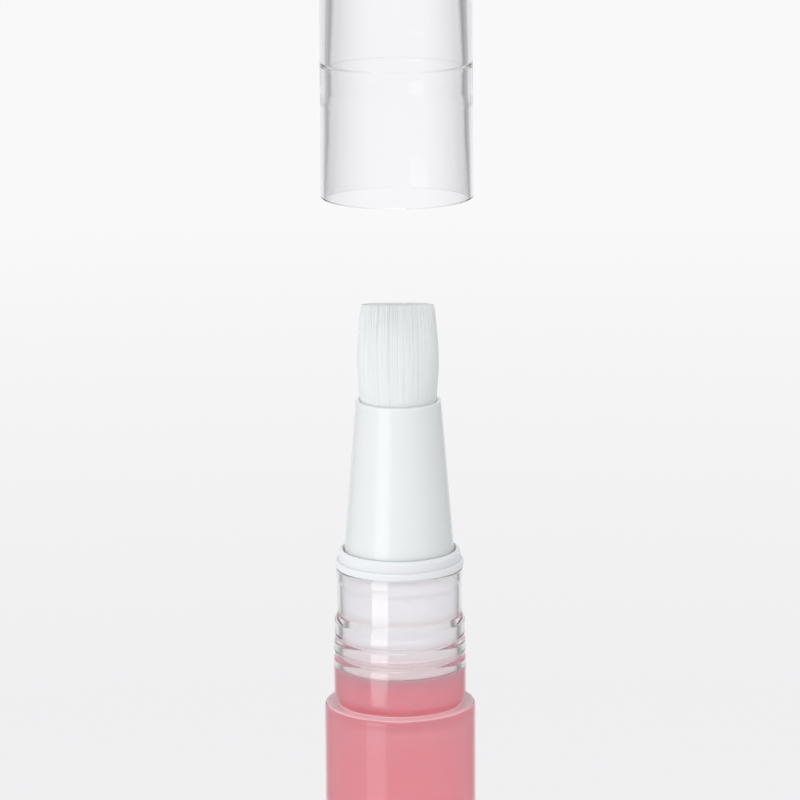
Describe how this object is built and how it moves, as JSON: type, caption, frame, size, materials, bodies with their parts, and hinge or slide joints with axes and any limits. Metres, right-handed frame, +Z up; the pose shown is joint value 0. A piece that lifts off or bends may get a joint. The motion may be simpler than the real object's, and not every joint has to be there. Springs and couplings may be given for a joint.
{
  "type": "twist-up nail oil pen",
  "caption": "Slim twist-up oil pen: clear barrel of pink oil, white nozzle with flat-cut brush, turning end knob, and a clear cap held off above it.",
  "frame": {"origin": "centre of the flat end of the knob, the lowest point of the upright pen, on its long axis", "axes": "+Z up the pen's axis towards the brush and the cap; +X along the width of the flat-cut brush; +Y away from its front face"},
  "size_m": [0.012, 0.012, 0.1787],
  "materials": {
    "clear_cap": "clear polished styrene plastic",
    "clear_barrel": "clear polished styrene plastic",
    "pink_oil": "milky pink liquid",
    "natural_collar": "translucent natural polypropylene",
    "white_nozzle": "smooth white polypropylene",
    "bristle_white": "fine white nylon filaments",
    "inner_white": "moulded white acetal",
    "insert_white": "moulded white plastic",
    "natural_tube": "natural polyethylene tube",
    "piston_rubber": "soft white silicone",
    "knob_white": "glossy white plastic"
  },
  "bodies": {
    "pen_body": {"barrel": "clear_barrel", "neck_plug": "natural_collar", "brush_nozzle": "white_nozzle", "brush_bush": "inner_white", "bristles": "bristle_white", "tube_holder": "inner_white", "feed_tube": "natural_tube", "oil": "pink_oil", "thread_nut": "inner_white", "tail_insert": "insert_white", "ratchet_ring": "inner_white", "snap_ring": "inner_white"},
    "cap_body": {"cap": "clear_cap"},
    "knob_body": {"knob_shell": "knob_white", "knob_core": "inner_white", "end_plug": "knob_white", "drive_tube": "inner_white"},
    "rod_body": {"screw_rod": "inner_white"},
    "piston_body": {"piston_core": "inner_white", "piston_seal": "piston_rubber"}
  },
  "joints": [
    {"name": "cap_pull", "type": "slide", "parent": "pen_body", "child": "cap_body", "axis": [0, 0, 1], "range_m": [-0.04065, 0]},
    {"name": "knob_turn", "type": "hinge", "parent": "pen_body", "child": "knob_body", "pos_m": [0, 0, 0], "axis": [0, 0, 1], "range_deg": [0, 5196]},
    {"name": "rod_feed", "type": "slide", "parent": "knob_body", "child": "rod_body", "axis": [0, 0, 1], "range_m": [0, 0.0433]},
    {"name": "piston_feed", "type": "slide", "parent": "pen_body", "child": "piston_body", "axis": [0, 0, 1], "range_m": [0, 0.0433], "deforming": ["oil"]}
  ],
  "couplings": [
    {"joint": "knob_turn", "follows": "piston_feed", "rad_per_m": 2094.4},
    {"joint": "rod_feed", "follows": "piston_feed", "ratio": 1}
  ]
}
